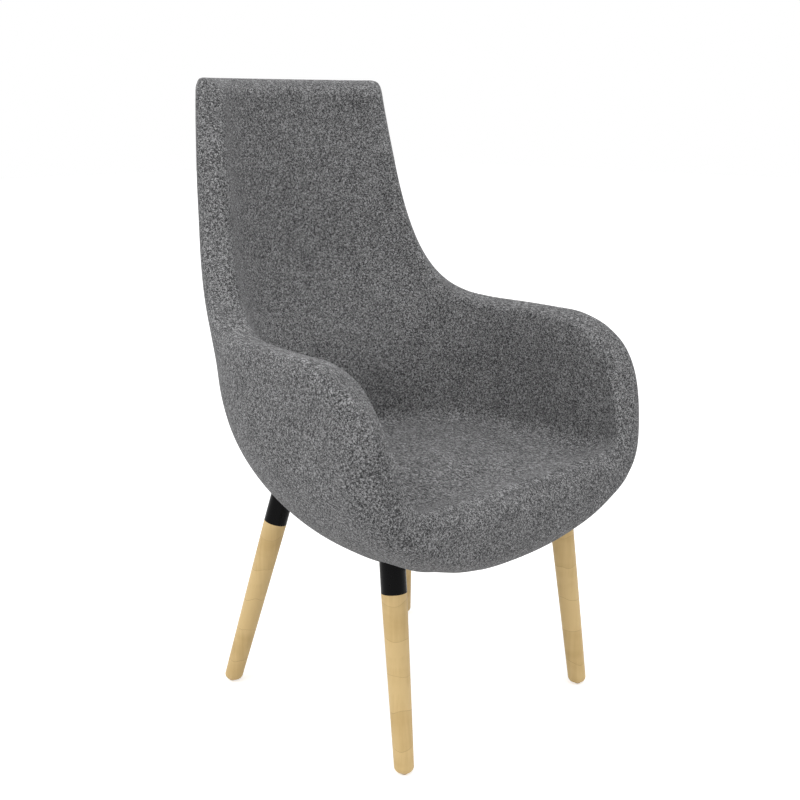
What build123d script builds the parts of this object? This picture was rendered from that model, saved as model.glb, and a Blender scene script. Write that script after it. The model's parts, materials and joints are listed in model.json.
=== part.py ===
import math
import os

from build123d import *

os.makedirs("parts", exist_ok=True)

# Driving sizes in millimetres. X runs across the chair, -Y is its front, the floor is Z = 0.
overall_height = 1100.0
overall_width = 704.0
overall_depth = 645.0

# Heights on the upholstered shell
underside_height = 300.0
seat_height = 448.0
seat_crown = 8.0
belt_height = 545.0
full_wall_height = 600.0
square_plan_height = 625.0
arm_height = 685.0
arm_width_height = 700.0
lumbar_height = 800.0

# Plan of the shell: half widths, and how far the rear face stands from the middle of the depth
arm_top_half_width = 345.0
back_top_half_width = 330.0
widest_y = -132.5
rear_face_belt = 229.0
rear_face_lumbar = 304.5
front_corner_radius = 85.0
front_bulge = 0.28
rear_draw = 0.45
plan_power_low = 2.0
plan_power_belt = 2.7
plan_power_top = 3.0

# Bowl of the shell, inside and out, and the padding round its rim
bowl_power = 2.1
bowl_rear_rise = 80.0
bowl_front_share = 0.58
seat_bend_height = 62.0
seat_corner_rear = 9.0
seat_corner_side = 5.0
seat_corner_front = 3.2
bowl_floor_length = 290.0
bowl_curve_share = 0.8
bend_blend = 25.0
least_rise = 4.0
rise_blend = 14.0
station_lead = 1.5
arm_wall = 70.0
lumbar_wall = 56.0
back_wall = 48.0
rim_power = 2.3
nose_round = 68.0
cover_thickness = 2.0
foam_clearance = 0.5

# Legs: foot centres on the floor and the lean of each axis per millimetre of height
front_foot_x = 228.3
front_foot_y = -254.3
front_lean_x = -0.0452
front_lean_y = 0.1252
rear_foot_x = 225.8
rear_foot_y = 209.3
rear_lean_x = -0.1993
rear_lean_y = -0.1993
leg_top_diameter = 42.0
leg_foot_diameter = 32.0
foot_round = 10.0
front_collar_height = 299.0
rear_collar_height = 314.0
front_socket_top = 405.0
rear_socket_top = 446.0
socket_wall = 2.5
socket_cap = 6.0
tenon_clearance = 0.25
tenon_gap = 1.0
stud_diameter = 8.0
stud_depth = 45.0
glide_diameter = 11.0
glide_thickness = 2.5
glide_pin_diameter = 2.5
glide_pin_length = 16.0

# Steel frame moulded into the foam
rail_diameter = 20.0
rail_height = 396.0
rear_rail_y = 52.0
rear_rail_half_width = 158.0
rail_bend_radius = 35.0
rail_rise_below_cap = 13.0
hoop_diameter = 12.0
hoop_bend_radius = 45.0
hoop_top_gap = 42.0
hoop_below_cap = 14.0
hoop_depth = 0.66
hoop_seat_level = 0.345
hoop_turn_level = 0.42
hoop_waist_level = 0.6
hoop_back_level = 0.75
hoop_top_level = 0.96
arm_tube_diameter = 14.0
arm_tube_bend_radius = 40.0
arm_tube_drop = 56.0
arm_corner_level = 0.62
arm_top_level = 0.9
arm_front_level = 0.84
arm_low_level = 0.58
strap_count = 4
strap_width = 45.0
strap_thickness = 2.0
strap_first_height = 590.0
strap_pitch = 115.0

# Seat suspension and pad
spring_count = 4
spring_pitch = 58.0
spring_wire = 3.6
spring_half_width = 16.0
spring_runs = 12
spring_bend_share = 0.45
insulator_gap = 1.0
clip_width = 14.0
clip_thickness = 2.0
clip_length = 16.0
pad_half_width = 176.0
pad_front_y = -255.0
pad_rear_y = 78.0
pad_corner = 70.0
well_half_width = 128.0
well_depth = 20.0
well_corner = 30.0

# Plate that closes the gathered cover under the bowl
plate_length = 150.0
plate_width = 88.0
plate_thickness = 5.0
plate_raise = 3.0
fabric_clearance = 0.3
plate_bar_width = 25.0
plate_bar_thickness = 4.0
plate_bar_flat = 45.0
plate_bar_shoulder = 165.0
plate_bar_overhang = 12.0
plate_screw_spacing = 60.0
plate_screw_diameter = 5.0
plate_screw_head = 9.0
plate_screw_head_height = 2.5

half_width = overall_width / 2
front_face = -overall_depth / 2 + front_bulge
rear_face_top = overall_depth / 2 + rear_draw

# Rim of the shell from the seat's front centre, round the arm, to the back's top centre. Each row is a
# station round the plan (2 front centre, 1 side, 0 rear centre) and a height.
nose_height = underside_height + 31.0
rim_table = [
    (2.0, nose_height),
    (1.8, nose_height + 6),
    (1.65, nose_height + 21),
    (1.55, nose_height + 44),
    (1.48, nose_height + 83),
    (1.42, arm_height - 217),
    (1.36, arm_height - 145),
    (1.30, arm_height - 85),
    (1.23, arm_height - 43),
    (1.14, arm_height - 16),
    (1.03, arm_height - 3),
    (0.92, arm_height),
    (0.80, arm_height + 2),
    (0.70, arm_height + 8),
    (0.62, arm_height + 21),
    (0.55, arm_height + 48),
    (0.495, overall_height - 313),
    (0.452, overall_height - 235),
    (0.415, overall_height - 135),
    (0.382, overall_height - 55),
    (0.366, overall_height - 22),
    (0.345, overall_height - 5),
    (0.31, overall_height - 0.6),
    (0.22, overall_height - 0.2),
    (0.12, overall_height),
    (0.0, overall_height),
]
ring_levels = (0.16, 0.3, 0.42, 0.53, 0.63, 0.72, 0.79, 0.85, 0.89, 0.92, 0.945, 0.965, 0.98, 0.99, 0.997)


def eased(height, rows):
    """Read a value off rows of (height, value) with a smooth step between them."""
    for (low, low_value), (high, high_value) in zip(rows, rows[1:]):
        if height <= high:
            share = min(max((height - low) / (high - low), 0.0), 1.0)
            share = share * share * (3 - 2 * share)
            return low_value + (high_value - low_value) * share
    return rows[-1][1]


def wall_thickness(height):
    rows = [(full_wall_height, arm_wall), (lumbar_height, lumbar_wall), (overall_height, back_wall)]
    return eased(height, rows)


def plan_point(station, height, inset):
    """Point of the wall's plan, a given inset from the outer face."""
    widths = [
        (belt_height, half_width),
        (arm_width_height, arm_top_half_width),
        (overall_height, back_top_half_width),
    ]
    rears = [
        (belt_height, rear_face_belt),
        (lumbar_height, rear_face_lumbar),
        (overall_height, rear_face_top),
    ]
    powers = [
        (underside_height, plan_power_low),
        (square_plan_height, plan_power_belt),
        (overall_height, plan_power_top),
    ]
    across = eased(height, widths) - inset
    rear = eased(height, rears) - inset
    if station <= 1:
        angle = station * math.pi / 2
        power = 2 / eased(height, powers)
        y = widest_y + (rear - widest_y) * abs(math.cos(angle)) ** power
        return across * math.sin(angle) ** power, y
    straight = widest_y - front_face - front_corner_radius
    turn = front_corner_radius * math.pi / 2
    run = (station - 1) * (straight + turn + across - front_corner_radius)
    angle = min(max((run - straight) / front_corner_radius, 0.0), math.pi / 2)
    x = across - front_corner_radius * (1 - math.cos(angle)) - max(run - straight - turn, 0.0)
    y = widest_y - min(run, straight) - front_corner_radius * math.sin(angle)
    return x, y


def bowl_point(rim_height, floor, bend, power, level):
    """Share of the plan and the height reached at a level from the bowl's middle (0) to its rim (1)."""
    rise = least_rise + rise_blend * math.log1p(math.exp((rim_height - floor - least_rise) / rise_blend))
    curve = max(-bend_blend * math.log(math.exp(-rise / bend_blend) + math.exp(-bend / bend_blend)), 3.0)
    curve_run = bowl_floor_length + bowl_curve_share * curve
    run = level * (curve_run + max(rise - curve, 0.0))
    angle = min(run / curve_run, 1.0) * math.pi / 2
    if run <= curve_run:
        height = floor + curve * (1 - abs(math.cos(angle)) ** (2 / power))
    else:
        height = floor + curve + run - curve_run
    return math.sin(angle) ** (2 / power), height


def face_pair(index, level):
    """Outer and inner face of the shell on one rim row's line, before the rim is rounded."""
    rim_station, rim_height = rim_table[index]
    start_station = 2 * (1 - index / (len(rim_table) - 1))
    station = start_station + (rim_station - start_station) * level**station_lead
    bend = (belt_height - underside_height) * eased(rim_station, [(1.05, 1.0), (1.5, bowl_front_share)])
    bend += bowl_rear_rise * max(1 - rim_station, 0.0)
    share, height = bowl_point(rim_height, underside_height, bend, bowl_power, level)
    x, y = plan_point(station, height, 0.0)
    outer = Vector(share * x, widest_y + share * (y - widest_y), height)
    corner = eased(rim_station, [(0.45, seat_corner_rear), (0.9, seat_corner_side), (1.3, seat_corner_front)])
    share, height = bowl_point(rim_height, seat_height, seat_bend_height, corner, level)
    x, y = plan_point(station, height, wall_thickness(height))
    crown = seat_crown * (1 - share**2)
    inner = Vector(share * x, widest_y + share * (y - widest_y), height + crown)
    return outer, inner


def wall_point(index, level, depth):
    """Point within the wall on one rim row's line, from its inner face (0) to its outer face (1)."""
    outer, inner = face_pair(index, level)
    return inner + (outer - inner) * depth


def mid_point(index, level):
    return wall_point(index, level, 0.5)


rim_line = [mid_point(index, 1.0) for index in range(len(rim_table))]


def rim_distance(point):
    nearest = overall_height
    for start, end in zip(rim_line, rim_line[1:]):
        along = end - start
        share = min(max((point - start).dot(along) / along.dot(along), 0.0), 1.0)
        nearest = min(nearest, (point - start - along * share).length)
    return nearest


def rounded_pair(index, level):
    """Both faces drawn together towards the rim, so that the wall ends in a soft round."""
    outer, inner = face_pair(index, level)
    middle = (outer + inner) * 0.5
    half = (outer - inner).length / 2
    near = min(rim_distance(middle) / min(half, nose_round), 1.0)
    full = (1 - (1 - near) ** rim_power) ** (1 / rim_power)
    return middle + (outer - middle) * full, middle + (inner - middle) * full


def mirrored(row):
    return row + [Vector(-point.X, point.Y, point.Z) for point in reversed(row[1:-1])]


bowl_bottom = Vector(0, widest_y, underside_height)
seat_middle = Vector(0, widest_y, seat_height + seat_crown)
ring_pairs = [[rounded_pair(index, level) for index in range(len(rim_table))] for level in ring_levels]
outer_rings = [mirrored([pair[0] for pair in ring]) for ring in ring_pairs]
inner_rings = [mirrored([pair[1] for pair in ring]) for ring in reversed(ring_pairs)]
shell_points = outer_rings + [mirrored(rim_line)] + inner_rings
ring_length = len(shell_points[0])
last_ring = len(shell_points) - 1


def slope_across(number, index):
    """Outward vector at a ring point, shorter where the ring and the line across it run nearly alike."""
    ring = shell_points[number]
    along = ring[(index + 1) % ring_length] - ring[index - 1]
    before = shell_points[number - 1][index] if number else bowl_bottom
    after = shell_points[number + 1][index] if number < last_ring else seat_middle
    return along.normalized().cross((after - before).normalized())


def drawn_in(number, index, inset):
    """Ring point moved inwards along the mean of the outward vectors about it."""
    outward = Vector(0, 0, 0)
    for near_number in range(max(number - 1, 0), min(number + 1, last_ring) + 1):
        for near_index in (index - 1, index, index + 1):
            outward += slope_across(near_number, near_index % ring_length)
    return shell_points[number][index] - outward.normalized() * inset


def ring_wire(points):
    return Wire([Edge.make_spline(points, periodic=True)])


def opening_points(first_ring, low_tip):
    """Where the lines from the bowl's bottom to the first ring cross the plate's opening."""
    points = []
    for point in first_ring:
        line = point - low_tip
        across_share = line.X / (plate_length / 2 + fabric_clearance)
        along_share = line.Y / (plate_width / 2 + fabric_clearance)
        points.append(low_tip + line / math.hypot(across_share, along_share))
    return points


def skin_points(inset):
    """All rings drawn in by an inset, with the bowl's bottom and the seat's middle to match."""
    rings = []
    for number in range(last_ring + 1):
        rings.append([drawn_in(number, index, inset) for index in range(ring_length)])
    return bowl_bottom + Vector(0, 0, inset), rings, seat_middle - Vector(0, 0, inset)


foam_bottom, foam_points, foam_middle = skin_points(cover_thickness + foam_clearance)
foam_wires = [ring_wire(points) for points in foam_points]
whole_foam = Solid.make_loft([Vertex(*foam_bottom), *foam_wires, Vertex(*foam_middle)], ruled=True)

# The cover is a skin: its outer face, its lining against the foam, and the hem round the plate's opening
shell_wires = [ring_wire(points) for points in shell_points]
lining_bottom, lining_points, lining_middle = skin_points(cover_thickness)
lining_wires = [ring_wire(points) for points in lining_points]
outer_hem = ring_wire(opening_points(shell_points[0], bowl_bottom))
inner_hem = ring_wire(opening_points(lining_points[0], lining_bottom))
outer_skin = Shell.make_loft([outer_hem, *shell_wires, Vertex(*seat_middle)], ruled=True)
inner_skin = Shell.make_loft([inner_hem, *lining_wires, Vertex(*lining_middle)], ruled=True)
hem_skin = Shell.make_loft([outer_hem, inner_hem], ruled=True)
cover_skin = Solid(Shell([*outer_skin.faces(), *inner_skin.faces(), *hem_skin.faces()]))


class LegPlace:
    """Where one leg stands: its foot, its lean, and the heights of its collar and socket."""

    def __init__(self, name, side, front):
        self.name = name
        self.foot_x = side * (front_foot_x if front else rear_foot_x)
        self.foot_y = front_foot_y if front else rear_foot_y
        self.lean_x = side * (front_lean_x if front else rear_lean_x)
        self.lean_y = front_lean_y if front else rear_lean_y
        self.collar_height = front_collar_height if front else rear_collar_height
        self.socket_top = front_socket_top if front else rear_socket_top
        self.direction = Vector(self.lean_x, self.lean_y, 1).normalized()
        self.collar_plane = Plane(origin=self.at(self.collar_height), z_dir=self.direction)
        self.leg_length = self.collar_height / self.direction.Z + leg_foot_diameter / 2
        self.socket_length = (self.socket_top - self.collar_height) / self.direction.Z
        self.tenon_length = self.socket_length - socket_cap - tenon_gap

    def at(self, height):
        return Vector(self.foot_x + self.lean_x * height, self.foot_y + self.lean_y * height, height)


front_left = LegPlace("front_left", 1, True)
front_right = LegPlace("front_right", -1, True)
rear_left = LegPlace("rear_left", 1, False)
rear_right = LegPlace("rear_right", -1, False)
leg_places = [front_left, front_right, rear_left, rear_right]
on_base = (Align.CENTER, Align.CENTER, Align.MIN)
under_base = (Align.CENTER, Align.CENTER, Align.MAX)


def save(part, label):
    part.label = label
    export_step(part, f"parts/{label}.step")


# Wooden legs: tapered, cut level at the floor, rounded foot, a tenon that fills the socket
for place in leg_places:
    with BuildPart(place.collar_plane) as leg:
        Cone(leg_foot_diameter / 2, leg_top_diameter / 2, place.leg_length, align=under_base)
        tenon_radius = leg_top_diameter / 2 - socket_wall - tenon_clearance
        Cylinder(tenon_radius, place.tenon_length, align=on_base)
        with Locations((0, 0, place.tenon_length - stud_depth)):
            Cylinder(stud_diameter / 2, stud_depth, align=on_base, mode=Mode.SUBTRACT)
        split(bisect_by=Plane.XY.offset(glide_thickness), keep=Keep.TOP)
        fillet(leg.faces().sort_by(Axis.Z)[0].edges(), foot_round)
        with BuildSketch(Plane(place.at(0))):
            Circle(glide_pin_diameter / 2)
        extrude(amount=glide_pin_length, mode=Mode.SUBTRACT)
    save(leg.part, f"{place.name}_leg")

# Black steel sockets that show below the upholstery as collars
for place in leg_places:
    with BuildPart(place.collar_plane) as socket:
        Cylinder(leg_top_diameter / 2, place.socket_length, align=on_base)
        Cylinder(
            leg_top_diameter / 2 - socket_wall,
            place.socket_length - socket_cap,
            align=on_base,
            mode=Mode.SUBTRACT,
        )
        Cylinder(stud_diameter / 2, place.socket_length, align=on_base, mode=Mode.SUBTRACT)
    save(socket.part, f"{place.name}_socket")

# Full cores of the sockets, used to trim what meets them
with BuildPart() as socket_cores:
    for place in leg_places:
        with BuildSketch(place.collar_plane):
            Circle(leg_top_diameter / 2)
        extrude(amount=place.socket_length)

# Studs that join each leg to its socket's cap
with BuildPart() as leg_studs:
    for place in leg_places:
        with BuildSketch(place.collar_plane.offset(place.tenon_length - stud_depth)):
            Circle(stud_diameter / 2)
        extrude(amount=stud_depth + tenon_gap + socket_cap)
save(leg_studs.part, "leg_studs")

# Nylon glides under the feet, each held by a nail
nail_head_height = glide_thickness / 2
with BuildPart() as leg_glides:
    with Locations(*[place.at(0) for place in leg_places]):
        Cylinder(glide_diameter / 2, glide_thickness, align=on_base)
        Cylinder(glide_pin_diameter, nail_head_height, align=on_base, mode=Mode.SUBTRACT)
        Cylinder(glide_pin_diameter / 2, glide_thickness, align=on_base, mode=Mode.SUBTRACT)
save(leg_glides.part, "leg_glides")

with BuildPart() as glide_nails:
    with Locations(*[place.at(0) + Vector(0, 0, nail_head_height / 2) for place in leg_places]):
        Cylinder(glide_pin_diameter, nail_head_height / 2, align=on_base)
        Cylinder(glide_pin_diameter / 2, glide_pin_length - nail_head_height / 2, align=on_base)
save(glide_nails.part, "glide_nails")


def swept_tube(diameter, points, bend_radius):
    """Round tube along straight runs with rounded bends."""
    with BuildPart() as tube:
        with BuildLine() as path:
            FilletPolyline(*points, radius=bend_radius)
        with BuildSketch(Plane(origin=path.line @ 0, z_dir=path.line % 0)):
            Circle(diameter / 2)
        sweep(path=path.line)
    return tube.part


def across(point):
    return Vector(-point.X, point.Y, point.Z)


# Seat frame: side rails from the front sockets, bent up at the rear to meet the rear sockets
rail_rear_corner = Vector(rear_rail_half_width, rear_rail_y, rail_height)
rail_end = rear_left.at(rear_socket_top - rail_rise_below_cap)
rail_path = [front_left.at(rail_height), rail_rear_corner, rail_end]
with BuildPart() as left_rail:
    add(swept_tube(rail_diameter, rail_path, rail_bend_radius))
    add(socket_cores.part, mode=Mode.SUBTRACT)
save(left_rail.part, "left_rail")

with BuildPart() as right_rail:
    add(mirror(left_rail.part, about=Plane.YZ))
save(right_rail.part, "right_rail")

front_rail_start = front_right.at(rail_height)
with BuildPart() as front_rail:
    with BuildSketch(Plane(origin=front_rail_start, z_dir=(1, 0, 0))):
        Circle(rail_diameter / 2)
    extrude(amount=-2 * front_rail_start.X)
    add([socket_cores.part, left_rail.part, right_rail.part], mode=Mode.SUBTRACT)
save(front_rail.part, "front_rail")

with BuildPart() as rear_rail:
    with BuildSketch(Plane(origin=across(rail_rear_corner), z_dir=(1, 0, 0))):
        Circle(rail_diameter / 2)
    extrude(amount=2 * rear_rail_half_width)
    add(left_rail.part, mode=Mode.SUBTRACT)
    add(right_rail.part, mode=Mode.SUBTRACT)
save(rear_rail.part, "rear_rail")

# Rows of the rim table whose lines through the wall the frame follows
hoop_low_row = 22
hoop_row = 23
corner_row = 18
arm_rear_row = 13
arm_middle_row = 10
arm_front_row = 8

# Back hoop: up from the rear sockets inside the back, bent over below the top edge
hoop_top = wall_point(hoop_row, hoop_top_level, hoop_depth)
hoop_side = [
    rear_left.at(rear_socket_top - hoop_below_cap),
    mid_point(hoop_low_row, hoop_seat_level),
    mid_point(hoop_low_row, hoop_turn_level),
    mid_point(hoop_row, hoop_waist_level),
    wall_point(hoop_row, hoop_back_level, hoop_depth),
    Vector(hoop_top.X, hoop_top.Y, overall_height - hoop_top_gap),
]
hoop_path = hoop_side + [across(point) for point in reversed(hoop_side)]
with BuildPart() as back_hoop:
    add(swept_tube(hoop_diameter, hoop_path, hoop_bend_radius))
    add(socket_cores.part, mode=Mode.SUBTRACT)
save(back_hoop.part, "back_hoop")


def hoop_run(height):
    """Middle of the hoop's upright at a height, and the direction in which it runs there."""
    for start, end in zip(hoop_side, hoop_side[1:]):
        if height <= end.Z:
            break
    run = end - start
    return start + run * ((height - start.Z) / run.Z), run.normalized()


# Arm tubes: forward from the hoop inside the arm, then down and in to the front socket
arm_path = [
    hoop_run(arm_height - arm_tube_drop)[0],
    mid_point(corner_row, arm_corner_level),
    mid_point(arm_rear_row, arm_top_level),
    mid_point(arm_middle_row, arm_top_level),
    mid_point(arm_front_row, arm_front_level),
    mid_point(arm_front_row, arm_low_level),
    front_left.at(front_socket_top - socket_cap),
]
with BuildPart() as left_arm_tube:
    add(swept_tube(arm_tube_diameter, arm_path, arm_tube_bend_radius))
    add(socket_cores.part, mode=Mode.SUBTRACT)
    add(back_hoop.part, mode=Mode.SUBTRACT)
    add(left_rail.part, mode=Mode.SUBTRACT)
    add(front_rail.part, mode=Mode.SUBTRACT)
save(left_arm_tube.part, "left_arm_tube")

with BuildPart() as right_arm_tube:
    add(mirror(left_arm_tube.part, about=Plane.YZ))
save(right_arm_tube.part, "right_arm_tube")

# Webbing straps stretched across the hoop
with BuildPart() as back_straps:
    for number in range(strap_count):
        middle, run = hoop_run(strap_first_height + number * strap_pitch)
        facing = Vector(1, 0, 0).cross(run)
        with BuildSketch(Plane(origin=(0, middle.Y, middle.Z), x_dir=(1, 0, 0), z_dir=facing)):
            Rectangle(2 * middle.X, strap_width)
        extrude(amount=strap_thickness / 2, both=True)
    add(back_hoop.part, mode=Mode.SUBTRACT)
save(back_straps.part, "back_straps")

# Zigzag seat springs: runs of wire across the chair, the first and last held in clips on the rails
rail_top = rail_height + rail_diameter / 2
spring_axis_height = rail_top + clip_thickness + spring_wire / 2
clip_top = spring_axis_height + spring_wire / 2 + clip_thickness
front_rail_y = front_rail_start.Y
run_pitch = (rear_rail_y - front_rail_y) / (spring_runs - 1)
spring_places = [(number - (spring_count - 1) / 2) * spring_pitch for number in range(spring_count)]
with BuildPart() as seat_springs:
    for spring_x in spring_places:
        points = []
        for number in range(spring_runs):
            turn = spring_half_width * (-1) ** number
            run_y = front_rail_y + number * run_pitch
            points.append(Vector(spring_x - turn, run_y, spring_axis_height))
            points.append(Vector(spring_x + turn, run_y, spring_axis_height))
        add(swept_tube(spring_wire, points, run_pitch * spring_bend_share))
save(seat_springs.part, "seat_springs")

# Clips folded round the end runs, open towards the middle of the seat
with BuildPart() as spring_clips:
    for clip_y, inward in ((front_rail_y, 1), (rear_rail_y, -1)):
        slot_y = clip_y + inward * clip_thickness
        with Locations(*[(x, clip_y, rail_top) for x in spring_places]):
            Box(clip_width, clip_length, clip_top - rail_top, align=on_base)
        with Locations(*[(x, slot_y, rail_top + clip_thickness) for x in spring_places]):
            Box(clip_width, clip_length, spring_wire, align=on_base, mode=Mode.SUBTRACT)
save(spring_clips.part, "spring_clips")

# Felt sheet between springs and pad, as thick as the clips stand above the wire
insulator_front = front_rail_y + clip_length / 2 + insulator_gap
insulator_rear = rear_rail_y - clip_length / 2 - insulator_gap
with BuildPart() as spring_insulator:
    with BuildSketch(Plane.XY.offset(clip_top - clip_thickness)):
        with Locations((0, (insulator_front + insulator_rear) / 2)):
            RectangleRounded(2 * well_half_width, insulator_rear - insulator_front, well_corner)
    extrude(amount=clip_thickness)
save(spring_insulator.part, "spring_insulator")

# Plate that closes the cover under the bowl, and the bar between the side rails that carries it
plate_bottom = underside_height + plate_raise
plate_top = plate_bottom + plate_thickness
bar_low = plate_top + plate_bar_thickness / 2
bar_high = rail_height - rail_diameter / 2 - plate_bar_thickness / 2
rail_front = front_left.at(rail_height)
rail_share = (widest_y - rail_front.Y) / (rear_rail_y - rail_front.Y)
bar_end = rail_front.X + (rear_rail_half_width - rail_front.X) * rail_share + plate_bar_overhang
with BuildPart() as plate_bar:
    with BuildSketch(Plane(origin=(0, widest_y, 0), x_dir=(1, 0, 0), z_dir=(0, -1, 0))):
        with BuildLine():
            Polyline(
                (-bar_end, bar_high),
                (-plate_bar_shoulder, bar_high),
                (-plate_bar_flat, bar_low),
                (plate_bar_flat, bar_low),
                (plate_bar_shoulder, bar_high),
                (bar_end, bar_high),
            )
        trace(line_width=plate_bar_thickness)
    extrude(amount=plate_bar_width / 2, both=True)
    with BuildSketch(Plane.XY.offset(plate_top)):
        with GridLocations(plate_screw_spacing, 1, 2, 1):
            with Locations((0, widest_y)):
                Circle(plate_screw_diameter / 2)
    extrude(amount=plate_bar_thickness, mode=Mode.SUBTRACT)
save(plate_bar.part, "plate_bar")

with BuildPart() as base_plate:
    with BuildSketch(Plane.XY.offset(plate_bottom)):
        with Locations((0, widest_y)):
            Ellipse(plate_length / 2, plate_width / 2)
            with GridLocations(plate_screw_spacing, 1, 2, 1):
                Circle(plate_screw_diameter / 2, mode=Mode.SUBTRACT)
    extrude(amount=plate_thickness)
save(base_plate.part, "base_plate")

with BuildPart() as base_plate_screws:
    with Locations(*[(side * plate_screw_spacing / 2, widest_y, plate_bottom) for side in (-1, 1)]):
        Cylinder(plate_screw_head / 2, plate_screw_head_height, align=under_base)
        Cylinder(plate_screw_diameter / 2, plate_thickness + plate_bar_thickness, align=on_base)
save(base_plate_screws.part, "base_plate_screws")

# Prism that parts the seat pad from the foam shell
with BuildPart() as pad_prism:
    with BuildSketch(Plane.XY.offset(clip_top)):
        with Locations((0, (pad_front_y + pad_rear_y) / 2)):
            RectangleRounded(2 * pad_half_width, pad_rear_y - pad_front_y, pad_corner)
    extrude(amount=overall_height - clip_top)

with BuildPart() as seat_pad:
    with BuildSketch(Plane.XY.offset(clip_top)):
        with Locations((0, (pad_front_y + pad_rear_y) / 2)):
            RectangleRounded(
                2 * (pad_half_width - foam_clearance),
                pad_rear_y - pad_front_y - 2 * foam_clearance,
                pad_corner - foam_clearance,
            )
    extrude(amount=overall_height - clip_top)
    add(whole_foam, mode=Mode.INTERSECT)
save(seat_pad.part, "seat_pad")

# Well under the pad, where the springs can sink
with BuildPart() as spring_well:
    with BuildSketch(Plane.XY.offset(rail_height - well_depth)):
        with Locations((0, (front_rail_y + rear_rail_y) / 2)):
            RectangleRounded(2 * well_half_width, rear_rail_y - front_rail_y + rail_diameter, well_corner)
    extrude(amount=clip_top - rail_height + well_depth)

# Opening of foam and cover round the plate
with BuildPart() as plate_opening:
    with BuildSketch(Plane.XY.offset(plate_bottom - plate_thickness)):
        with Locations((0, widest_y)):
            Ellipse(plate_length / 2 + fabric_clearance, plate_width / 2 + fabric_clearance)
    extrude(amount=2 * plate_thickness)

with BuildPart() as shell_foam:
    add(whole_foam)
    foam_hollows = [
        pad_prism.part,
        spring_well.part,
        socket_cores.part,
        left_rail.part,
        right_rail.part,
        front_rail.part,
        rear_rail.part,
        back_hoop.part,
        left_arm_tube.part,
        right_arm_tube.part,
        back_straps.part,
        plate_bar.part,
        base_plate_screws.part,
        plate_opening.part,
    ]
    add(foam_hollows, mode=Mode.SUBTRACT)
save(shell_foam.part, "shell_foam")

with BuildPart() as shell_cover:
    add(cover_skin)
    for place in leg_places:
        with BuildSketch(place.collar_plane):
            Circle(leg_top_diameter / 2 + fabric_clearance)
        extrude(amount=place.socket_length, mode=Mode.SUBTRACT)
save(shell_cover.part, "shell_cover")
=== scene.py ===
import json
import math

import bpy
import numpy as np
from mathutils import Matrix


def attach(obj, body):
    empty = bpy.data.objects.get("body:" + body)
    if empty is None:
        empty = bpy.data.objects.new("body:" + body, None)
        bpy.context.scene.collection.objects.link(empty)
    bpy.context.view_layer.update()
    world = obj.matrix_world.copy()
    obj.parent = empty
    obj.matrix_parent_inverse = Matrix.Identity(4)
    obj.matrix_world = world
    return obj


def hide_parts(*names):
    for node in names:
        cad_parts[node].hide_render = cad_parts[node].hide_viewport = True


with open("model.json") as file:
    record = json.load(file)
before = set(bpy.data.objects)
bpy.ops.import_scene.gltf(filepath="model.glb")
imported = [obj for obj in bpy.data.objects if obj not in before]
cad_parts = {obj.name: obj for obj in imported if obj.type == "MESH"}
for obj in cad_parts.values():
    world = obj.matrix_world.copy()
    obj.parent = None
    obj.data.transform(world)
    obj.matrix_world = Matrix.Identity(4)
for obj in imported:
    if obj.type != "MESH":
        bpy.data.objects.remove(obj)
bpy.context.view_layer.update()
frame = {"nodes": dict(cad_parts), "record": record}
print("frame loaded:", len(frame["nodes"]), "nodes")

perMetre = 1000.0

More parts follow.
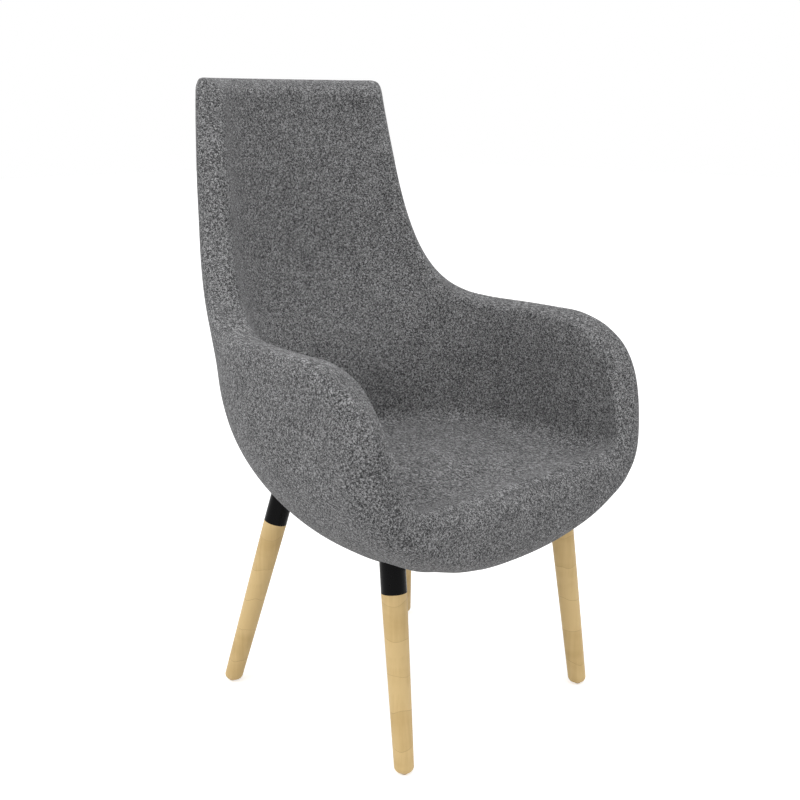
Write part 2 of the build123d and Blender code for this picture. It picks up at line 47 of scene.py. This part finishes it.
# upholstered shell in millimetres, front towards -y
# a station is a place round its plan: 2 front centre, 1 widest point of the side, 0 rear centre
shellForm = {
    "frontY": -322.2,
    "widestY": -132.5,
    "frontCorner": 85.0,
    "underside": 300.0,
    "seat": 448.0,
    "crown": 8.0,
    "belt": 545.0,
    # station and height of the rim, from the seat's front centre round the arm to the back's top centre
    "rimRows": [
        (2.0, 329), (1.8, 335), (1.65, 351), (1.55, 373), (1.48, 411), (1.42, 460), (1.36, 540),
        (1.30, 600), (1.23, 642), (1.14, 669), (1.03, 682), (0.92, 685), (0.80, 687), (0.70, 693),
        (0.62, 708), (0.55, 740), (0.495, 793), (0.452, 865), (0.415, 965), (0.385, 1050), (0.373, 1082),
        (0.357, 1096.5), (0.325, 1099.5), (0.22, 1099.8), (0.12, 1100), (0.0, 1100),
    ],
    # height with half width, rear face, squareness of the plan and thickness of the wall
    "sideRows": [(545, 352), (700, 345), (1100, 330)],
    "rearRows": [
        (545, 229), (608, 240.5), (672, 266.7), (736, 291),
        (790, 303), (860, 311), (940, 317.5), (1100, 322.9),
    ],
    "planRows": [(300, 2.0), (625, 2.7), (1100, 3.0)],
    "thicknessRows": [(600, 70), (800, 56), (1100, 48)],
    # station with fullness of the underside, share of the belt's rise that it takes to turn upright,
    # squareness of the corner between seat and wall, and squareness of the padded edge
    "bowlRows": [(0.2, 2.1), (0.6, 2.24), (1.05, 2.24), (1.3, 2.13), (1.6, 2.1), (1.92, 2.42)],
    "bendRows": [(1.14, 1.0), (1.5, 0.46)],
    "cornerRows": [(0.45, 9.0), (0.9, 7.5), (1.2, 6.5), (1.45, 4.5)],
    "edgeRows": [(1.3, 3.0), (1.55, 2.5)],
    # how much longer the underside takes to turn upright at the rear centre
    "rearRise": 125.0,
    # the seat's fall towards its front by depth, and how the fall fades up the walls
    "fallRows": [(-312, 0), (-225, 14), (80, 0)],
    "fallFade": [(463, 1), (608, 0)],
    # the bowls' profile: length along the floor, bend of the seat, and how softly limits are met
    "floorRun": 290.0,
    "curveShare": 0.8,
    "seatBend": 62.0,
    "bendBlend": 25.0,
    "riseBlend": 14.0,
    "leastRise": 4.0,
    "leastCurve": 3.0,
    "stationLead": 1.5,
    "edgeReach": 68.0,
    "leastReach": 1.0,
    # opening that the base plate closes
    "plateHalfX": 75.3,
    "plateHalfY": 44.3,
    "plateRoof": 309.0,
    # relaxing near the rim by distance, and under the nose by place
    "pull": 0.5,
    "pushBack": -0.52,
    "rimFade": [(90, 1), (170, 0)],
    "rimPasses": 30,
    "noseAcross": [(60, 0), (150, 1)],
    "noseAlong": [(-230, 1), (-120, 0)],
    "noseUp": [(302, 0), (312, 1), (440, 1), (540, 0)],
    "nosePasses": 20,
    # mesh rows, and how they crowd together at rim and corner
    "columns": 241,
    "finerRim": 4,
    "outerRows": 84,
    "outerStart": 0.02,
    "outerCrowd": 1.6,
    "seatRows": 46,
    "seatStart": 0.04,
    "seatCrowd": 1.5,
    "seatShare": 0.72,
    "leastSeatShare": 0.05,
    "wallRows": 58,
    "wallCrowdLow": 1.6,
    "wallCrowdHigh": 1.7,
}


# value between rows of (place, value), eased at each row: share squared times (3 - 2 share)
def smoothRows(position, rows):
    places, values = np.array(rows, float).T
    low = np.clip(np.searchsorted(places, position) - 1, 0, len(places) - 2)
    share = np.clip((position - places[low]) / (places[low + 1] - places[low]), 0, 1)
    share = share * share * (3 - 2 * share)
    return values[low] + (values[low + 1] - values[low]) * share


# cubic curve through the values that never overshoots them: its slope at a row is the harmonic mean
# of the slopes on both sides, and zero at the ends and where these differ in sign
def steadyCurve(position, places, values):
    span = np.diff(places)
    slope = np.diff(values) / span
    same = slope[:-1] * slope[1:] > 0
    product = 2 * slope[:-1] * slope[1:]
    total = np.where(same, slope[:-1] + slope[1:], 1.0)
    tangent = np.zeros_like(values)
    tangent[1:-1] = np.where(same, product / total, 0.0)
    position = np.clip(position, places[0], places[-1])
    low = np.clip(np.searchsorted(places, position) - 1, 0, len(places) - 2)
    share = (position - places[low]) / span[low]
    left = 1 - share
    ends = (1 + 2 * share) * left ** 2 * values[low] + share * share * (3 - 2 * share) * values[low + 1]
    lean = share * left ** 2 * tangent[low] + share * share * (share - 1) * tangent[low + 1]
    return ends + span[low] * lean


# plan of the wall at a height: a superellipse by angle behind the widest line, and before it
# a straight side, a corner arc and a straight front, measured by length
def planAt(station, height, inset, form):
    half = smoothRows(height, form["sideRows"]) - inset
    rear = steadyCurve(height, *np.array(form["rearRows"], float).T) - inset
    power = smoothRows(height, form["planRows"])
    widest = form["widestY"]
    angle = np.clip(station, 0, 1) * np.pi / 2
    rearX = half * np.sin(angle) ** (2 / power)
    rearY = widest + (rear - widest) * np.abs(np.cos(angle)) ** (2 / power)
    corner = form["frontCorner"]
    straight = widest - form["frontY"] - corner
    arc = corner * np.pi / 2
    run = np.clip(station - 1, 0, 1) * (straight + arc + half - corner)
    turned = np.clip((run - straight) / corner, 0, np.pi / 2)
    frontX = half - corner * (1 - np.cos(turned)) - np.clip(run - straight - arc, 0, None)
    frontY = widest - np.clip(run, 0, straight) - corner * np.sin(turned)
    return np.where(station > 1, frontX, rearX), np.where(station > 1, frontY, rearY)


# profile of a bowl by level, 0 at its middle and 1 at the rim: a quarter superellipse that rises
# from the floor to the bend, then straight up; gives the share of the plan and the height
def bowlAt(level, rimHeight, floor, bend, power, form):
    least = form["leastRise"]
    soft = form["riseBlend"]
    rise = least + soft * np.logaddexp(0.0, (rimHeight - floor - least) / soft)
    blend = form["bendBlend"]
    curve = -blend * np.log(np.exp(-rise / blend) + np.exp(-bend / blend))
    curve = np.maximum(curve, form["leastCurve"])
    curveRun = form["floorRun"] + form["curveShare"] * curve
    run = level * (curveRun + np.maximum(rise - curve, 0))
    angle = np.clip(run / curveRun, 0, 1) * np.pi / 2
    share = np.sin(angle) ** (2 / power)
    bowl = floor + curve * (1 - np.abs(np.cos(angle)) ** (2 / power))
    return share, np.where(run <= curveRun, bowl, floor + curve + run - curveRun)


# rim in even steps of length: its station, its height, and the station where each column sets out
def rimAt(count, form):
    station, height = np.array(form["rimRows"], float).T
    x, y = planAt(station, height, smoothRows(height, form["thicknessRows"]) / 2, form)
    steps = np.linalg.norm(np.diff(np.stack([x, y, height], 1), axis=0), axis=1)
    knots = np.concatenate([[0.0], np.cumsum(steps)])
    knots /= knots[-1]
    along = np.linspace(0, 1, count)[:, None]
    return steadyCurve(along, knots, station), steadyCurve(along, knots, height), 2 * (1 - along)


# outer and inner face over (column, level): share of the plan times the plan, at the bowl's height
def bareFaces(level, rim, form):
    rimStation, rimHeight, startStation = rim
    station = startStation + (rimStation - startStation) * level ** form["stationLead"]
    bend = (form["belt"] - form["underside"]) * smoothRows(rimStation, form["bendRows"])
    bend = bend + form["rearRise"] * np.clip(1 - rimStation, 0, 1)
    fullness = smoothRows(rimStation, form["bowlRows"])
    shareOut, heightOut = bowlAt(level, rimHeight, form["underside"], bend, fullness, form)
    corner = smoothRows(rimStation, form["cornerRows"])
    shareIn, heightIn = bowlAt(level, rimHeight, form["seat"], form["seatBend"], corner, form)
    outX, outY = planAt(station, heightOut, 0.0, form)
    inX, inY = planAt(station, heightIn, smoothRows(heightIn, form["thicknessRows"]), form)
    centre = form["widestY"]
    outY = centre + shareOut * (outY - centre)
    inY = centre + shareIn * (inY - centre)
    heightIn = heightIn + form["crown"] * (1 - shareIn ** 2)
    fall = smoothRows(inY, form["fallRows"]) * smoothRows(heightIn, form["fallFade"])
    outer = np.stack([shareOut * outX, outY, heightOut], -1)
    inner = np.stack([shareIn * inX, inY, heightIn - fall], -1)
    return outer, inner


# distance from each point of a grid to the nearest point of a line
def distanceTo(grid, line):
    nearest = np.full(grid.shape[:2], np.inf)
    for point in line:
        nearest = np.minimum(nearest, np.linalg.norm(grid - point, axis=-1))
    return nearest


# both faces drawn together at the rim: each keeps, of its distance to the middle between them,
# a superellipse of the distance to the rim
def paddedFaces(level, rim, rimPoints, form):
    outer, inner = bareFaces(level, rim, form)
    middle = 0.5 * (outer + inner)
    half = 0.5 * np.linalg.norm(outer - inner, axis=-1)
    reach = np.clip(half, form["leastReach"], form["edgeReach"])
    near = np.clip(distanceTo(middle, rimPoints) / reach, 0, 1)
    square = smoothRows(rim[0], form["edgeRows"])
    full = ((1 - (1 - near) ** square) ** (1 / square))[..., None]
    return middle + (outer - middle) * full, middle + (inner - middle) * full


# points inside the plate's ellipse are pushed out to it, at their own height
def clearOfPlate(outer, form):
    centre = np.array([0.0, form["widestY"], 0.0])
    away = outer - centre
    reach = np.hypot(away[..., 0] / form["plateHalfX"], away[..., 1] / form["plateHalfY"])
    push = 1 / np.minimum(reach, 1.0)[..., None]
    return np.where([True, True, False], away * push + centre, outer)


# half of the shell where x is above 0, over (column, row): from the plate's opening over the outer
# face to the rim, and down the inner face to the middle of the seat
def shellGrid(form):
    rim = rimAt(form["columns"], form)
    rimOuter, rimInner = bareFaces(np.ones((1, 1)), rimAt(form["finerRim"] * form["columns"], form), form)
    rimPoints = 0.5 * (rimOuter + rimInner)[:, 0]
    even = np.linspace(0, 1, form["outerRows"])[None]
    start = form["outerStart"]
    level = start + (1 - start) * (1 - (1 - even) ** form["outerCrowd"])
    outer = clearOfPlate(paddedFaces(level, rim, rimPoints, form)[0], form)
    # inner face: seat rows up to the corner, then wall rows up to the rim
    curveRun = form["floorRun"] + form["curveShare"] * form["seatBend"]
    total = curveRun + np.maximum(rim[1] - form["seat"] - form["seatBend"], 0)
    corner = np.clip(curveRun * form["seatShare"] / total, form["leastSeatShare"], form["seatShare"])
    seatEven = np.linspace(form["seatStart"], 1, form["seatRows"])[None]
    seatLevel = 1 - (1 - seatEven) ** form["seatCrowd"]
    wallEven = np.linspace(0, 1, form["wallRows"] + 1)[None, 1:]
    wallLevel = 0.5 * (wallEven ** form["wallCrowdLow"] + 1 - (1 - wallEven) ** form["wallCrowdHigh"])
    level = np.concatenate([corner * seatLevel, corner + (1 - corner) * wallLevel], 1)
    inner = paddedFaces(level, rim, rimPoints, form)[1][:, :-1]
    hem = outer[:, :1] * np.array([1.0, 1.0, 0.0]) + np.array([0.0, 0.0, form["plateRoof"]])
    return np.concatenate([hem, outer, inner[:, ::-1]], 1), rimPoints[::form["finerRim"]]


# relaxing: a point moves by pull times its way to the mean of its four neighbours, and in every
# second step by back times it; a back below zero keeps the form's size while folds go
# the rows at the plate's opening and at the middle of the seat stay where they are
def relaxed(grid, weight, passes, pull, back):
    flip = np.array([-1.0, 1.0, 1.0])
    weight = weight.copy()
    weight[:, :2] = 0.0
    weight[:, -1] = 0.0
    for step in range(2 * passes):
        wide = np.concatenate([grid[1:2] * flip, grid, grid[-2:-1] * flip], 0)
        mean = np.zeros_like(grid)
        mean[:, 1:-1] = 0.25 * (wide[:-2, 1:-1] + wide[2:, 1:-1] + grid[:, :-2] + grid[:, 2:])
        share = pull if step % 2 == 0 else back
        grid = grid + share * weight[..., None] * (mean - grid)
    return grid


# the underside between the nose and the side of the bowl, where the two forms run into each other
def noseWeight(grid, form):
    across = smoothRows(np.abs(grid[..., 0]), form["noseAcross"])
    return across * smoothRows(grid[..., 1], form["noseAlong"]) * smoothRows(grid[..., 2], form["noseUp"])


# closed mesh in metres from columns that run pole to pole, the half mirrored across x = 0
def closedMesh(name, halfGrid, firstPole, lastPole):
    mirrored = halfGrid[1:-1][::-1] * np.array([-1.0, 1.0, 1.0])
    rings = np.concatenate([halfGrid, mirrored], 0).transpose(1, 0, 2)
    rows, columns = rings.shape[:2]
    points = np.concatenate([rings.reshape(-1, 3), firstPole[None], lastPole[None]]) / perMetre
    row, column = np.meshgrid(np.arange(rows - 1), np.arange(columns), indexing="ij")
    lower = row * columns
    upper = lower + columns
    following = (column + 1) % columns
    quads = np.stack([lower + column, lower + following, upper + following, upper + column], -1)
    ring = np.arange(columns)
    after = (ring + 1) % columns
    firstFan = np.stack([np.full(columns, rows * columns), after, ring], -1)
    last = (rows - 1) * columns
    lastFan = np.stack([last + ring, last + after, np.full(columns, rows * columns + 1)], -1)
    faces = quads.reshape(-1, 4).tolist() + firstFan.tolist() + lastFan.tolist()
    mesh = bpy.data.meshes.new(name)
    mesh.from_pydata(points.tolist(), [], faces)
    mesh.validate()
    mesh.polygons.foreach_set("use_smooth", np.ones(len(mesh.polygons), bool))
    mesh.update()
    piece = bpy.data.objects.new(name, mesh)
    bpy.context.scene.collection.objects.link(piece)
    return piece


def makeUpholstery(form):
    grid, rimPoints = shellGrid(form)
    pull = form["pull"]
    rimWeight = smoothRows(distanceTo(grid, rimPoints), form["rimFade"])
    grid = relaxed(grid, rimWeight, form["rimPasses"], pull, form["pushBack"])
    grid = relaxed(grid, noseWeight(grid, form), form["nosePasses"], pull, pull)
    firstPole = np.array([0.0, form["widestY"], form["plateRoof"]])
    lastPole = np.array([0.0, form["widestY"], form["seat"] + form["crown"]])
    return closedMesh("upholstery", grid, firstPole, lastPole)


upholstery = makeUpholstery(shellForm)
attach(upholstery, "root")
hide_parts("shell_cover", "shell_foam", "seat_pad")
print("upholstery:", len(upholstery.data.polygons), "faces")


# node helpers: an input is fed a plain value, or linked from the socket that is given
def addNode(tree, kind, place, inputs=None, **settings):
    node = tree.nodes.new(kind)
    node.location = place
    for key, value in settings.items():
        setattr(node, key, value)
    feedInputs(tree, node, inputs or {})
    return node


def feedInputs(tree, node, inputs):
    for key, source in inputs.items():
        if isinstance(source, bpy.types.NodeSocket):
            tree.links.new(source, node.inputs[key])
        else:
            node.inputs[key].default_value = source


def mathNode(tree, place, operation, *sources):
    node = addNode(tree, "ShaderNodeMath", place, dict(enumerate(sources)), operation=operation)
    return node.outputs["Value"]


def noiseNode(tree, place, vector, scale, **inputs):
    node = addNode(tree, "ShaderNodeTexNoise", place, {"Vector": vector, "Scale": scale, **inputs})
    return node.outputs["Fac"]


def rampNode(tree, place, value, stops):
    ramp = addNode(tree, "ShaderNodeValToRGB", place, {"Fac": value})
    elements = ramp.color_ramp.elements
    for number, (position, colour) in enumerate(stops):
        element = elements[number] if number < 2 else elements.new(position)
        element.position = position
        element.color = (*colour, 1.0)
    return ramp.outputs["Color"]


def bumpNode(tree, place, height, look):
    inputs = {"Height": height, "Strength": look["bump"], "Distance": look["bumpDepth"]}
    return addNode(tree, "ShaderNodeBump", place, inputs).outputs["Normal"]


def newMaterial(name):
    material = bpy.data.materials.new(name)
    material.use_nodes = True
    tree = material.node_tree
    return material, tree, tree.nodes["Principled BSDF"]


# grey felt, scales per metre; where the cloth lies level, its fibres are drawn out along the depth
feltLook = {
    "fleckScale": 400.0,
    "fibreScale": 1500.0,
    "tuftScale": 240.0,
    "cloudScale": 22.0,
    "fleckShare": 0.62,
    "fibreShare": 0.3,
    "tuftShare": 0.35,
    "cloudShare": 0.14,
    "fleckRange": (0.38, 0.62),
    "levelDraw": 0.45,
    "levelRange": (0.7, 0.97),
    "tones": [(0.3, (0.014, 0.014, 0.015)), (0.7, (0.102, 0.102, 0.104)), (1.0, (0.38, 0.38, 0.385))],
    "bump": 0.35,
    "bumpDepth": 0.0012,
    "roughness": 0.95,
    "specular": 0.15,
    "sheen": 0.15,
    "sheenRoughness": 0.5,
    "sheenTint": (0.8, 0.8, 0.82, 1.0),
}


# tone of the felt at a place: sharp flecks, fine fibres and broader tufts, each by its share
def fleckTone(group, enter, vector, row, look):
    fleck = noiseNode(group, (-600, row + 200), vector, enter.outputs["Fleck Scale"],
                      Detail=2.0, Roughness=0.6, Distortion=1.2)
    fibre = noiseNode(group, (-600, row - 50), vector, enter.outputs["Fibre Scale"],
                      Detail=3.0, Roughness=0.7, Distortion=0.6)
    tuft = noiseNode(group, (-600, row - 300), vector, enter.outputs["Tuft Scale"],
                     Detail=1.0, Distortion=0.8)
    low, high = look["fleckRange"]
    sharp = addNode(group, "ShaderNodeMapRange", (-350, row + 200),
                    {"Value": fleck, "From Min": low, "From Max": high})
    total = mathNode(group, (-180, row + 150), "MULTIPLY", sharp.outputs["Result"], look["fleckShare"])
    total = mathNode(group, (-100, row), "MULTIPLY_ADD", fibre, look["fibreShare"], total)
    return mathNode(group, (80, row), "MULTIPLY_ADD", tuft, look["tuftShare"], total)


def makeFeltGroup(look):
    group = bpy.data.node_groups.new("feltMelange", "ShaderNodeTree")
    for name in ("Fleck Scale", "Fibre Scale", "Tuft Scale", "Level Draw"):
        group.interface.new_socket(name, in_out="INPUT", socket_type="NodeSocketFloat")
    for name in ("Tone", "Height"):
        group.interface.new_socket(name, in_out="OUTPUT", socket_type="NodeSocketFloat")
    enter = addNode(group, "NodeGroupInput", (-1200, 0))
    where = addNode(group, "ShaderNodeTexCoord", (-1200, -250))
    wallTone = fleckTone(group, enter, where.outputs["Object"], 0, look)
    place = addNode(group, "ShaderNodeSeparateXYZ", (-1000, -900), {"Vector": where.outputs["Object"]})
    depth = mathNode(group, (-850, -950), "MULTIPLY", place.outputs["Y"], enter.outputs["Level Draw"])
    drawn = addNode(group, "ShaderNodeCombineXYZ", (-700, -900),
                    {"X": place.outputs["X"], "Y": depth, "Z": place.outputs["Z"]})
    levelTone = fleckTone(group, enter, drawn.outputs["Vector"], -900, look)
    facing = addNode(group, "ShaderNodeSeparateXYZ", (-1000, -1300), {"Vector": where.outputs["Normal"]})
    low, high = look["levelRange"]
    level = addNode(group, "ShaderNodeMapRange", (-850, -1300),
                    {"Value": facing.outputs["Z"], "From Min": low, "From Max": high},
                    interpolation_type="SMOOTHSTEP")
    both = addNode(group, "ShaderNodeMapRange", (350, -200),
                   {"Value": level.outputs["Result"], "To Min": wallTone, "To Max": levelTone})
    height = both.outputs["Result"]
    cloud = noiseNode(group, (150, -450), where.outputs["Object"], look["cloudScale"], Detail=2.0)
    tone = mathNode(group, (600, -100), "MULTIPLY_ADD", cloud, look["cloudShare"], height)
    addNode(group, "NodeGroupOutput", (900, 0), {"Tone": tone, "Height": height})
    return group


def makeFelt(look):
    material, tree, shader = newMaterial("greyFelt")
    scales = {
        "Fleck Scale": look["fleckScale"],
        "Fibre Scale": look["fibreScale"],
        "Tuft Scale": look["tuftScale"],
        "Level Draw": look["levelDraw"],
    }
    felt = addNode(tree, "ShaderNodeGroup", (-700, 0), scales, node_tree=makeFeltGroup(look))
    feedInputs(tree, shader, {
        "Base Color": rampNode(tree, (-450, 100), felt.outputs["Tone"], look["tones"]),
        "Normal": bumpNode(tree, (-250, -250), felt.outputs["Height"], look),
        "Roughness": look["roughness"],
        "Specular IOR Level": look["specular"],
        "Sheen Weight": look["sheen"],
        "Sheen Roughness": look["sheenRoughness"],
        "Sheen Tint": look["sheenTint"],
    })
    return material


upholstery.data.materials.append(makeFelt(feltLook))
print("felt placed")

# pale wood: long fibres up the leg, slow bands across it, and thin growth marks that part it into
# lengths of slightly different tone
woodLook = {
    "tones": [(0.4, (0.62, 0.425, 0.172)), (0.66, (0.74, 0.53, 0.24))],
    "mark": (0.38, 0.22, 0.075, 1.0),
    "fibres": (130.0, 130.0, 5.0),
    "bands": (9.0, 9.0, 26.0),
    "fibreTone": 0.45,
    "bandTone": 0.55,
    "lengthTone": 0.16,
    "markPitch": 0.061,
    "markWave": 0.030,
    "waveScale": 24.0,
    "markWidth": 0.018,
    "markDepth": 0.7,
    "bump": 0.12,
    "bumpDepth": 0.0006,
    "roughness": 0.5,
}


# noise on coordinates that are stretched along the leg or across it
def stretchedNoise(tree, place, where, stretch, **inputs):
    mapping = addNode(tree, "ShaderNodeMapping", place, {"Vector": where, "Scale": stretch})
    return noiseNode(tree, (place[0] + 200, place[1]), mapping.outputs["Vector"], 1.0, **inputs)


# a mix node has several sockets of one name, told apart by their identifiers
def socketOf(sockets, identifier):
    return next(socket for socket in sockets if socket.identifier == identifier)


def makeWood(look):
    material, tree, shader = newMaterial("paleWood")
    where = addNode(tree, "ShaderNodeTexCoord", (-1500, 0)).outputs["Object"]
    fibre = stretchedNoise(tree, (-1300, 150), where, look["fibres"], Detail=4.0, Roughness=0.55)
    band = stretchedNoise(tree, (-1300, -200), where, look["bands"], Detail=2.0, Distortion=0.4)
    # height in lengths between marks, waved by a noise so that the marks curve round the leg
    wave = noiseNode(tree, (-1300, -550), where, look["waveScale"], Detail=1.0)
    place = addNode(tree, "ShaderNodeSeparateXYZ", (-1300, -800), {"Vector": where})
    waved = mathNode(tree, (-1100, -650), "MULTIPLY_ADD", wave, look["markWave"], place.outputs["Z"])
    lengths = mathNode(tree, (-920, -650), "DIVIDE", waved, look["markPitch"])
    share = mathNode(tree, (-740, -600), "FRACT", lengths)
    number = mathNode(tree, (-740, -800), "FLOOR", lengths)
    edge = {"Value": share, "From Max": look["markWidth"], "To Min": look["markDepth"], "To Max": 0.0}
    mark = addNode(tree, "ShaderNodeMapRange", (-560, -600), edge, interpolation_type="SMOOTHSTEP")
    drawn = addNode(tree, "ShaderNodeTexWhiteNoise", (-560, -850), {"W": number}, noise_dimensions="1D")
    # tone: fibres, bands and each length's own, by their shares
    tone = mathNode(tree, (-740, -200), "MULTIPLY", band, look["bandTone"])
    tone = mathNode(tree, (-560, -350), "MULTIPLY_ADD", drawn.outputs["Value"], look["lengthTone"], tone)
    tone = mathNode(tree, (-560, 0), "MULTIPLY_ADD", fibre, look["fibreTone"], tone)
    marked = addNode(tree, "ShaderNodeMix", (-150, 50), {"Factor": mark.outputs["Result"]}, data_type="RGBA")
    tree.links.new(rampNode(tree, (-380, 50), tone, look["tones"]), socketOf(marked.inputs, "A_Color"))
    socketOf(marked.inputs, "B_Color").default_value = look["mark"]
    feedInputs(tree, shader, {
        "Base Color": socketOf(marked.outputs, "Result_Color"),
        "Normal": bumpNode(tree, (-250, -250), fibre, look),
        "Roughness": look["roughness"],
    })
    return material


# painted, plated and moulded finishes by slot, and the fine mottling that they share
plainLooks = {
    "collar_black": {
        "name": "blackCollar", "colour": (0.002, 0.002, 0.0022), "roughness": 0.26, "specular": 0.07,
    },
    "frame_steel": {
        "name": "primedFrame", "colour": (0.08, 0.08, 0.085), "roughness": 0.5,
    },
    "plain_steel": {
        "name": "platedSteel", "colour": (0.55, 0.55, 0.56), "roughness": 0.35, "metallic": 1.0,
    },
    "glide_nylon": {
        "name": "glideNylon", "colour": (0.5, 0.36, 0.17), "roughness": 0.55,
    },
    "plate_black": {
        "name": "plateBlack", "colour": (0.03, 0.03, 0.032), "roughness": 0.5,
    },
    "webbing": {
        "name": "webbing", "colour": (0.12, 0.12, 0.12), "roughness": 0.8, "grain": 500.0,
    },
    "insulator_felt": {
        "name": "insulatorFelt", "colour": (0.3, 0.28, 0.25), "roughness": 0.9, "grain": 400.0,
    },
}
mottling = {
    "shades": [(0.3, 0.8), (0.7, 1.2)],
    "roughnessSpread": 0.08,
    "bump": 0.06,
    "bumpDepth": 0.0004,
}


def makePlain(name, colour, roughness, metallic=0.0, grain=220.0, specular=0.5):
    material, tree, shader = newMaterial(name)
    where = addNode(tree, "ShaderNodeTexCoord", (-800, 0)).outputs["Object"]
    noise = noiseNode(tree, (-600, 0), where, grain, Detail=3.0)
    tones = [(place, tuple(shade * part for part in colour)) for place, shade in mottling["shades"]]
    low = roughness - mottling["roughnessSpread"]
    high = roughness + mottling["roughnessSpread"]
    spread = addNode(tree, "ShaderNodeMapRange", (-350, -150),
                     {"Value": noise, "To Min": low, "To Max": high})
    feedInputs(tree, shader, {
        "Base Color": rampNode(tree, (-350, 100), noise, tones),
        "Roughness": spread.outputs["Result"],
        "Normal": bumpNode(tree, (-250, -350), noise, mottling),
        "Metallic": metallic,
        "Specular IOR Level": specular,
    })
    return material


slotMaterials = {slot: makePlain(**look) for slot, look in plainLooks.items()}
slotMaterials["leg_wood"] = makeWood(woodLook)
nodeSlots = {row["node"]: row["material_slot"] for row in frame["record"]["subparts"]}
for nodeName, node in frame["nodes"].items():
    material = slotMaterials.get(nodeSlots[nodeName])
    if material is not None:
        node.data.materials.clear()
        node.data.materials.append(material)
print("wood, metal and plastic placed")

# floor, world and lamps, in metres and watts
studio = {
    "floorSize": 30.0,
    "floorColour": (0.82, 0.82, 0.82, 1.0),
    "floorRoughness": 0.9,
    "floorGlow": 0.6,
    "ambient": 0.72,
    "white": (1.0, 1.0, 1.0, 1.0),
    "aim": (0.0, 0.0, 0.6),
    "lamps": {
        "keyLight": {"power": 44.0, "place": (-2.8, 0.6, 3.5), "size": 2.4},
        "fillLight": {"power": 44.0, "place": (-0.2, -1.0, 4.2), "size": 1.6},
    },
}


# 1 on rays of the named kinds, which show the backdrop, and 0 on those that only light the chair
def backdropRays(tree, names):
    rays = addNode(tree, "ShaderNodeLightPath", (-900, 300))
    seen = rays.outputs[names[0]]
    for number, name in enumerate(names[1:]):
        seen = mathNode(tree, (-700 + 200 * number, 300), "MAXIMUM", seen, rays.outputs[name])
    return seen


def makeFloor(look):
    half = look["floorSize"] / 2
    corners = [(-half, -half, 0), (half, -half, 0), (half, half, 0), (-half, half, 0)]
    mesh = bpy.data.meshes.new("floor")
    mesh.from_pydata(corners, [], [(0, 1, 2, 3)])
    floor = bpy.data.objects.new("floor", mesh)
    bpy.context.scene.collection.objects.link(floor)
    material, tree, shader = newMaterial("paleFloor")
    seen = backdropRays(tree, ("Is Camera Ray", "Is Glossy Ray"))
    feedInputs(tree, shader, {
        "Base Color": look["floorColour"],
        "Roughness": look["floorRoughness"],
        "Emission Color": look["white"],
        "Emission Strength": mathNode(tree, (-200, 300), "MULTIPLY", seen, look["floorGlow"]),
    })
    mesh.materials.append(material)


def makeWorld(look):
    world = bpy.data.worlds.new("studio")
    bpy.context.scene.world = world
    world.use_nodes = True
    tree = world.node_tree
    seen = backdropRays(tree, ("Is Camera Ray", "Is Glossy Ray", "Is Transmission Ray"))
    strength = addNode(tree, "ShaderNodeMapRange", (-200, 200),
                       {"Value": seen, "To Min": look["ambient"], "To Max": 1.0})
    sky = tree.nodes["Background"]
    feedInputs(tree, sky, {"Color": look["white"], "Strength": strength.outputs["Result"]})


def areaLight(name, power, place, size, aim):
    light = bpy.data.lights.new(name, "AREA")
    light.energy = power
    light.size = size
    lamp = bpy.data.objects.new(name, light)
    bpy.context.scene.collection.objects.link(lamp)
    away = np.array(place) - np.array(aim)
    flat = math.hypot(away[0], away[1])
    lamp.location = place
    lamp.rotation_euler = (math.atan2(flat, away[2]), 0.0, math.atan2(away[0], -away[1]))


makeFloor(studio)
makeWorld(studio)
for lampName, lampLook in studio["lamps"].items():
    areaLight(lampName, aim=studio["aim"], **lampLook)
print("studio lit")

# camera of the photograph: place in metres, turn and tilt in degrees, focal length in pixels
photoView = {
    "place": (-1.48139, -1.52018, 1.05591),
    "turn": -44.48,
    "downward": 13.66,
    "focalPixels": 1220.14,
    "framePixels": 800,
    "sensorWidth": 36.0,
}
cameraData = bpy.data.cameras.new("photoCamera")
cameraData.sensor_width = photoView["sensorWidth"]
cameraData.lens = photoView["sensorWidth"] * photoView["focalPixels"] / photoView["framePixels"]
camera = bpy.data.objects.new("photoCamera", cameraData)
bpy.context.scene.collection.objects.link(camera)
camera.location = photoView["place"]
camera.rotation_euler = (math.radians(90 - photoView["downward"]), 0.0, math.radians(photoView["turn"]))
bpy.context.scene.camera = camera
bpy.context.scene.view_settings.view_transform = "Standard"
print("camera set")
